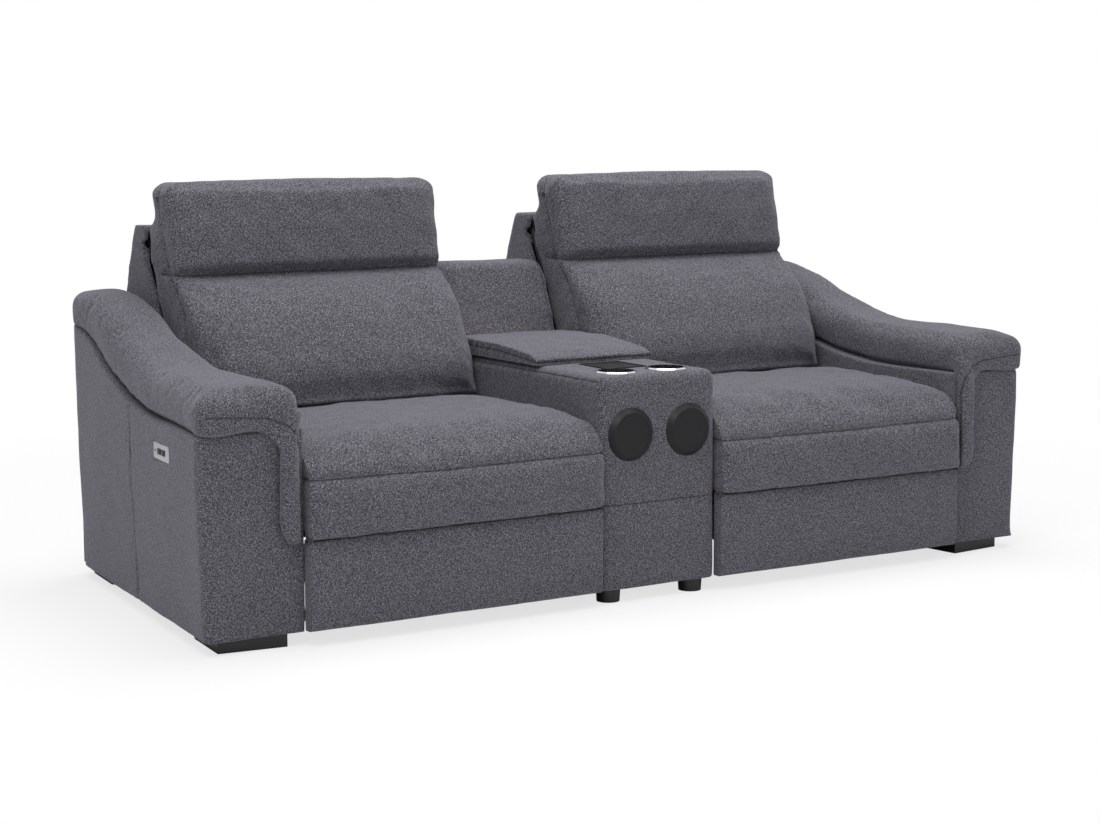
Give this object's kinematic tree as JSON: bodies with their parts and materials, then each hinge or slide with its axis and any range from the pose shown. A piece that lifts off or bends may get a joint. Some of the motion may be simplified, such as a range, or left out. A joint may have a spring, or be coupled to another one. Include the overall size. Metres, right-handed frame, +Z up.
{
  "type": "reclining console sofa",
  "caption": "Two-seat power reclining sofa with fold-out footrests, tilting headrests and a fixed console with cup holders, speakers and a lidded bin.",
  "frame": {"origin": "on the floor under the middle of the sofa's box", "axes": "+X to the right of someone who looks at its front, +Y to the back, +Z up"},
  "size_m": [2.4966, 1.116, 1.04],
  "materials": {
    "fabric": "heathered woven upholstery",
    "fabric_back": "heathered woven upholstery",
    "wood": "plain plywood",
    "black_steel": "satin black",
    "zinc_steel": "zinc plated",
    "chrome": "polished",
    "black_plastic": "matte",
    "gloss_black": "gloss",
    "cone_paper": "matte"
  },
  "bodies": {
    "base": {"console_carcass": "wood", "console_cover": "fabric", "storage_bin": "black_plastic", "cup_holders": "chrome", "charging_pad": "black_plastic", "speaker_rings": "black_plastic", "speaker_cones": "cone_paper", "speaker_drivers": "black_steel", "console_rear_pad": "fabric", "lid_hinge_fixed_leaf": "black_steel", "console_feet": "black_plastic", "block_feet": "black_plastic", "arm_frames": "wood", "control_plates": "chrome", "seat_frames": "wood", "seat_springs": "zinc_steel", "mechanism_frames": "black_steel", "actuators": "black_plastic", "rear_panel": "wood", "right_arm_cover": "fabric", "right_arm_pad": "fabric", "right_seat_cushion": "fabric", "left_arm_cover": "fabric", "left_arm_pad": "fabric", "left_seat_cushion": "fabric"},
    "lid": {"lid_board": "wood", "lid_pad": "fabric", "lid_hinge_moving_leaf": "black_steel"},
    "right_rear_links": {"right_rear_links": "black_steel"},
    "right_cross_links": {"right_cross_links": "zinc_steel"},
    "right_front_links": {"right_front_links": "zinc_steel"},
    "right_lift_links": {"right_lift_links": "zinc_steel"},
    "right_control_links": {"right_control_links": "zinc_steel"},
    "right_footrest": {"right_footrest_frame": "black_steel", "right_footrest_pad": "fabric"},
    "right_footrest_rod": {"right_footrest_rod": "zinc_steel"},
    "right_recline_rod": {"right_recline_rod": "zinc_steel"},
    "right_back": {"right_back_frame": "black_steel", "right_back_cushion": "fabric", "right_back_shell": "fabric_back"},
    "right_headrest": {"right_headrest_bracket": "black_steel", "right_headrest_pad": "fabric"},
    "right_recline_rocker": {"right_recline_rocker": "gloss_black"},
    "right_headrest_rocker": {"right_headrest_rocker": "gloss_black"},
    "left_rear_links": {"left_rear_links": "black_steel"},
    "left_cross_links": {"left_cross_links": "zinc_steel"},
    "left_front_links": {"left_front_links": "zinc_steel"},
    "left_lift_links": {"left_lift_links": "zinc_steel"},
    "left_control_links": {"left_control_links": "zinc_steel"},
    "left_footrest": {"left_footrest_frame": "black_steel", "left_footrest_pad": "fabric"},
    "left_footrest_rod": {"left_footrest_rod": "zinc_steel"},
    "left_recline_rod": {"left_recline_rod": "zinc_steel"},
    "left_back": {"left_back_frame": "black_steel", "left_back_cushion": "fabric", "left_back_shell": "fabric_back"},
    "left_headrest": {"left_headrest_bracket": "black_steel", "left_headrest_pad": "fabric"},
    "left_recline_rocker": {"left_recline_rocker": "gloss_black"},
    "left_headrest_rocker": {"left_headrest_rocker": "gloss_black"}
  },
  "joints": [
    {"name": "lid_hinge", "type": "hinge", "parent": "base", "child": "lid", "pos_m": [0, 0.1998, 0.607], "axis": [-1, 0, 0], "range_deg": [0, 80]},
    {"name": "right_footrest_fold", "type": "hinge", "parent": "base", "child": "right_rear_links", "pos_m": [0, -0.4076, 0.205], "axis": [-1, 0, 0], "range_deg": [0, 74]},
    {"name": "right_cross_pivot", "type": "hinge", "parent": "right_rear_links", "child": "right_cross_links", "pos_m": [0, -0.42319, 0.13164], "axis": [1, 0, 0], "range_deg": [0, 132]},
    {"name": "right_lift_pivot", "type": "hinge", "parent": "right_rear_links", "child": "right_lift_links", "pos_m": [0, -0.43879, 0.05828], "axis": [1, 0, 0], "range_deg": [0, 132]},
    {"name": "right_front_pivot", "type": "hinge", "parent": "right_cross_links", "child": "right_front_links", "pos_m": [0, -0.43879, 0.205], "axis": [-1, 0, 0], "range_deg": [0, 132]},
    {"name": "right_footrest_pivot", "type": "hinge", "parent": "right_lift_links", "child": "right_footrest", "pos_m": [0, -0.46997, 0.205], "axis": [-1, 0, 0], "range_deg": [0, 148]},
    {"name": "right_control_pivot", "type": "hinge", "parent": "right_front_links", "child": "right_control_links", "pos_m": [0, -0.46997, 0.05828], "axis": [1, 0, 0], "range_deg": [0, 139.3]},
    {"name": "right_footrest_drive", "type": "slide", "parent": "base", "child": "right_footrest_rod", "axis": [0, -1, 0], "range_m": [0, 0.06028]},
    {"name": "right_back_recline", "type": "hinge", "parent": "base", "child": "right_back", "pos_m": [0, 0.12, 0.3], "axis": [-1, 0, 0], "range_deg": [0, 28]},
    {"name": "right_recline_drive", "type": "slide", "parent": "base", "child": "right_recline_rod", "axis": [0, -1, 0], "range_m": [0, 0.04488]},
    {"name": "right_headrest_tilt", "type": "hinge", "parent": "right_back", "child": "right_headrest", "pos_m": [0, 0.28, 0.801], "axis": [1, 0, 0], "range_deg": [-8, 30]},
    {"name": "right_recline_rocker_tip", "type": "hinge", "parent": "base", "child": "right_recline_rocker", "pos_m": [1.21308, -0.25391, 0.434], "axis": [0, 0, 1], "range_deg": [-6, 6], "stiffness_Nm_per_rad": 0.5},
    {"name": "right_headrest_rocker_tip", "type": "hinge", "parent": "base", "child": "right_headrest_rocker", "pos_m": [1.2097, -0.22209, 0.434], "axis": [0, 0, 1], "range_deg": [-6, 6], "stiffness_Nm_per_rad": 0.5},
    {"name": "left_footrest_fold", "type": "hinge", "parent": "base", "child": "left_rear_links", "pos_m": [0, -0.4076, 0.205], "axis": [-1, 0, 0], "range_deg": [0, 74]},
    {"name": "left_cross_pivot", "type": "hinge", "parent": "left_rear_links", "child": "left_cross_links", "pos_m": [0, -0.42319, 0.13164], "axis": [1, 0, 0], "range_deg": [0, 132]},
    {"name": "left_lift_pivot", "type": "hinge", "parent": "left_rear_links", "child": "left_lift_links", "pos_m": [0, -0.43879, 0.05828], "axis": [1, 0, 0], "range_deg": [0, 132]},
    {"name": "left_front_pivot", "type": "hinge", "parent": "left_cross_links", "child": "left_front_links", "pos_m": [0, -0.43879, 0.205], "axis": [-1, 0, 0], "range_deg": [0, 132]},
    {"name": "left_footrest_pivot", "type": "hinge", "parent": "left_lift_links", "child": "left_footrest", "pos_m": [0, -0.46997, 0.205], "axis": [-1, 0, 0], "range_deg": [0, 148]},
    {"name": "left_control_pivot", "type": "hinge", "parent": "left_front_links", "child": "left_control_links", "pos_m": [0, -0.46997, 0.05828], "axis": [1, 0, 0], "range_deg": [0, 139.3]},
    {"name": "left_footrest_drive", "type": "slide", "parent": "base", "child": "left_footrest_rod", "axis": [0, -1, 0], "range_m": [0, 0.06028]},
    {"name": "left_back_recline", "type": "hinge", "parent": "base", "child": "left_back", "pos_m": [0, 0.12, 0.3], "axis": [-1, 0, 0], "range_deg": [0, 28]},
    {"name": "left_recline_drive", "type": "slide", "parent": "base", "child": "left_recline_rod", "axis": [0, -1, 0], "range_m": [0, 0.04488]},
    {"name": "left_headrest_tilt", "type": "hinge", "parent": "left_back", "child": "left_headrest", "pos_m": [0, 0.28, 0.801], "axis": [1, 0, 0], "range_deg": [-8, 30]},
    {"name": "left_recline_rocker_tip", "type": "hinge", "parent": "base", "child": "left_recline_rocker", "pos_m": [-1.21308, -0.25391, 0.434], "axis": [0, 0, 1], "range_deg": [-6, 6], "stiffness_Nm_per_rad": 0.5},
    {"name": "left_headrest_rocker_tip", "type": "hinge", "parent": "base", "child": "left_headrest_rocker", "pos_m": [-1.2097, -0.22209, 0.434], "axis": [0, 0, 1], "range_deg": [-6, 6], "stiffness_Nm_per_rad": 0.5}
  ],
  "couplings": [
    {"joint": "right_cross_pivot", "follows": "right_footrest_fold", "ratio": 1.7838},
    {"joint": "right_lift_pivot", "follows": "right_footrest_fold", "ratio": 1.7838},
    {"joint": "right_front_pivot", "follows": "right_footrest_fold", "ratio": 1.7838},
    {"joint": "right_footrest_pivot", "follows": "right_footrest_fold", "ratio": 2},
    {"joint": "right_control_pivot", "follows": "right_footrest_fold", "ratio": 1.8824},
    {"joint": "right_footrest_drive", "follows": "right_footrest_fold", "m_per_rad": 0.046676},
    {"joint": "right_recline_drive", "follows": "right_back_recline", "m_per_rad": 0.091835},
    {"joint": "left_cross_pivot", "follows": "left_footrest_fold", "ratio": 1.7838},
    {"joint": "left_lift_pivot", "follows": "left_footrest_fold", "ratio": 1.7838},
    {"joint": "left_front_pivot", "follows": "left_footrest_fold", "ratio": 1.7838},
    {"joint": "left_footrest_pivot", "follows": "left_footrest_fold", "ratio": 2},
    {"joint": "left_control_pivot", "follows": "left_footrest_fold", "ratio": 1.8824},
    {"joint": "left_footrest_drive", "follows": "left_footrest_fold", "m_per_rad": 0.046676},
    {"joint": "left_recline_drive", "follows": "left_back_recline", "m_per_rad": 0.091835}
  ]
}
